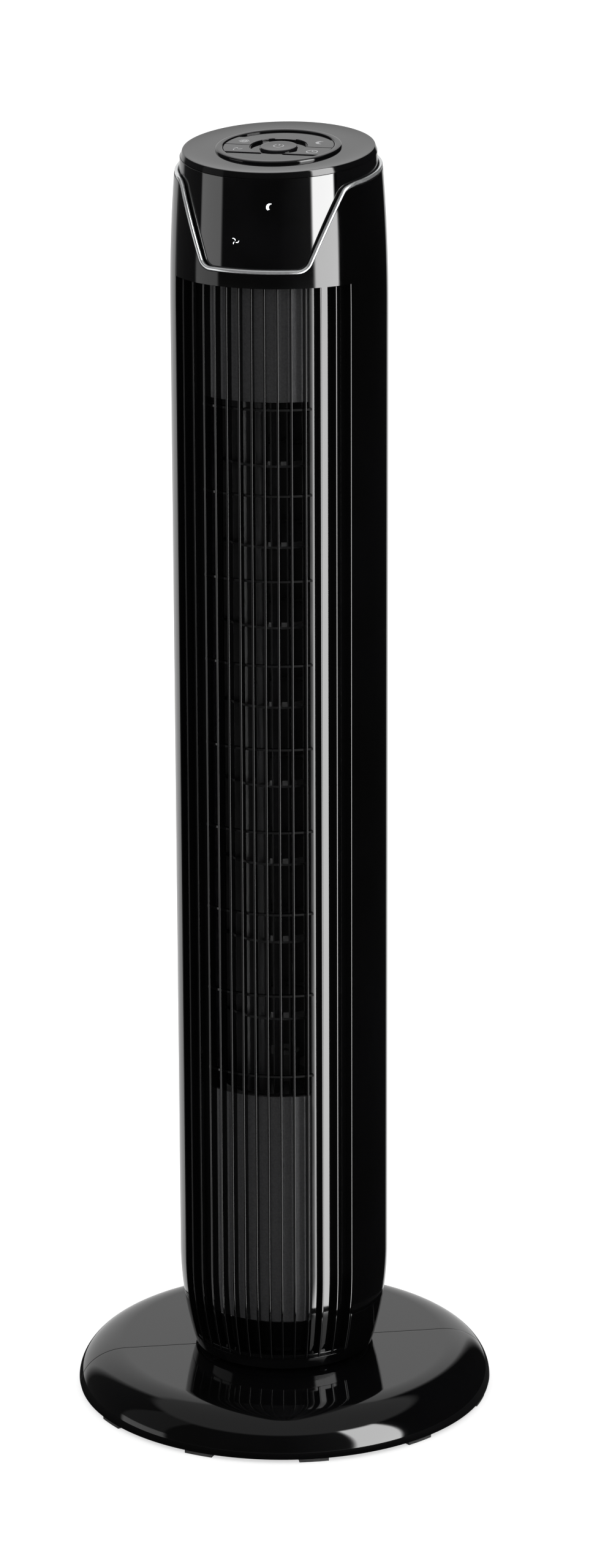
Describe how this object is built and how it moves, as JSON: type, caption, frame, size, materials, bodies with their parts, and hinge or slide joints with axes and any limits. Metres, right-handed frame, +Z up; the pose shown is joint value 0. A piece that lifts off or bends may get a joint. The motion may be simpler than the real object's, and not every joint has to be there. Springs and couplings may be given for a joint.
{
  "type": "tower fan",
  "caption": "Oscillating tower fan: a slim gloss column with a full-height front grille, slanted control deck and V trim, turning on a round base.",
  "frame": {"origin": "on the floor under the tower's axis, at the centre of the round base", "axes": "+Z up along the tower's axis; the air outlet faces -Y at rest; +X is to the right of someone who faces the outlet"},
  "size_m": [0.3, 0.3, 0.9154],
  "materials": {
    "gloss_black": "polished black moulding",
    "head_black": "polished black moulding",
    "intake_black": "satin black moulding",
    "lens": "clear gloss over black",
    "bright_trim": "bright plated plastic",
    "button_black": "polished, slightly softer than the shells",
    "textured_panel": "fine grained",
    "inner_black": "as moulded",
    "wheel_black": "as moulded",
    "rubber": "matt",
    "steel": "zinc plated",
    "nylon": "natural nylon",
    "board_green": "lacquered circuit board",
    "led_white": "clear resin over white",
    "small_parts": "moulded resin",
    "bronze": "sintered bronze",
    "laminations": "stacked electrical steel",
    "copper": "enamelled wire",
    "capacitor_grey": "plain case",
    "loom_grey": "sleeved wires"
  },
  "bodies": {
    "base": {"base_front_half": "gloss_black", "base_rear_half": "gloss_black", "base_screws": "steel", "rubber_feet": "rubber", "cord_grommet": "rubber", "pivot_post": "inner_black", "slide_ring": "nylon", "pivot_clip": "steel", "swing_gear": "nylon"},
    "tower": {"bottom_plate": "inner_black", "plate_screws": "steel", "lower_skirt": "gloss_black", "front_panel": "gloss_black", "rear_housing": "gloss_black", "intake_grille": "intake_black", "housing_screws": "steel", "trim_ring": "bright_trim", "head_shell": "head_black", "display_window": "lens", "display_board": "board_green", "display_leds": "led_white", "ir_receiver": "small_parts", "top_deck": "head_black", "control_ring": "head_black", "control_plate": "head_black", "button_board": "board_green", "board_screws": "steel", "tact_switches": "small_parts", "outlet_frame": "textured_panel", "volute": "inner_black", "tongue": "inner_black", "upper_end_plate": "inner_black", "lower_end_plate": "inner_black", "top_bush": "bronze", "bush_cushion": "rubber", "motor_bracket": "steel", "motor_shell_upper": "steel", "motor_shell_lower": "steel", "motor_stator": "laminations", "motor_windings": "copper", "motor_bushes": "bronze", "motor_screws": "steel", "run_capacitor": "capacitor_grey", "swing_motor": "steel", "swing_motor_screws": "steel", "wire_loom": "loom_grey"},
    "rotor": {"impeller": "wheel_black", "impeller_hub": "rubber", "top_axle": "steel", "motor_shaft": "steel", "motor_rotor": "laminations"},
    "pinion": {"swing_pinion": "nylon"},
    "power_key": {"button_power": "button_black"},
    "speed_key": {"button_speed": "button_black"},
    "swing_key": {"button_swing": "button_black"},
    "timer_key": {"button_timer": "button_black"},
    "sleep_key": {"button_sleep": "button_black"}
  },
  "joints": [
    {"name": "swing", "type": "hinge", "parent": "base", "child": "tower", "pos_m": [0, 0, 0.035], "axis": [0, 0, 1], "range_deg": [-17, 63]},
    {"name": "impeller_spin", "type": "hinge", "parent": "tower", "child": "rotor", "pos_m": [0, 0, 0.5], "axis": [0, 0, 1], "continuous": true},
    {"name": "pinion_spin", "type": "hinge", "parent": "tower", "child": "pinion", "pos_m": [0, 0.0361, 0.0475], "axis": [0, 0, 1], "range_deg": [-90, 320]},
    {"name": "power_press", "type": "slide", "parent": "tower", "child": "power_key", "axis": [0, 0.1045, -0.9945], "range_m": [0, 0.001], "stiffness_N_per_m": 600},
    {"name": "speed_press", "type": "slide", "parent": "tower", "child": "speed_key", "axis": [0, 0.1045, -0.9945], "range_m": [0, 0.001], "stiffness_N_per_m": 600},
    {"name": "swing_press", "type": "slide", "parent": "tower", "child": "swing_key", "axis": [0, 0.1045, -0.9945], "range_m": [0, 0.001], "stiffness_N_per_m": 600},
    {"name": "timer_press", "type": "slide", "parent": "tower", "child": "timer_key", "axis": [0, 0.1045, -0.9945], "range_m": [0, 0.001], "stiffness_N_per_m": 600},
    {"name": "sleep_press", "type": "slide", "parent": "tower", "child": "sleep_key", "axis": [0, 0.1045, -0.9945], "range_m": [0, 0.001], "stiffness_N_per_m": 600}
  ],
  "couplings": [
    {"joint": "pinion_spin", "follows": "swing", "ratio": 5}
  ]
}
